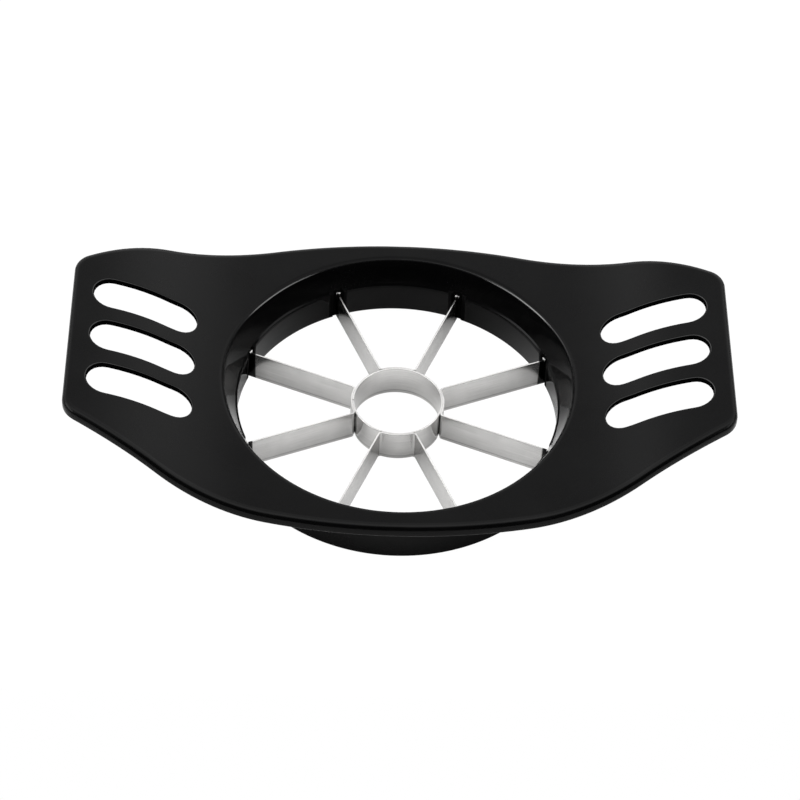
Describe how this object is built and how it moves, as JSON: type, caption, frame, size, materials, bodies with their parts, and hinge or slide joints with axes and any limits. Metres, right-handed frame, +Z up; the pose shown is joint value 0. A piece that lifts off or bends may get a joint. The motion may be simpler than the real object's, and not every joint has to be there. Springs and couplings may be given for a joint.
{
  "type": "fruit slicer",
  "caption": "Push-down fruit slicer and corer: a moulded frame with raised, slotted wing handles round a deep well, crossed by radial steel blades that meet at a coring ring.",
  "frame": {"origin": "middle of the face that the slicer rests on, on the well's axis", "axes": "+X along the wing handles, +Y towards the back, +Z up out of the well's mouth"},
  "size_m": [0.1888, 0.1126, 0.0366],
  "materials": {
    "frame_plastic": "black satin moulding, glossier inside the well",
    "carrier_plastic": "black moulding with a soft gloss",
    "blade_steel": "stainless strip with a fine grain along its length and a ground lower edge",
    "corer_steel": "stainless strip with a fine grain round the ring and a ground lower edge"
  },
  "bodies": {
    "root": {"frame": "frame_plastic", "blade_carrier": "carrier_plastic", "blade_strip_right": "blade_steel", "blade_strip_back": "blade_steel", "blade_strip_left": "blade_steel", "blade_strip_front": "blade_steel", "corer_ring": "corer_steel"}
  },
  "joints": []
}
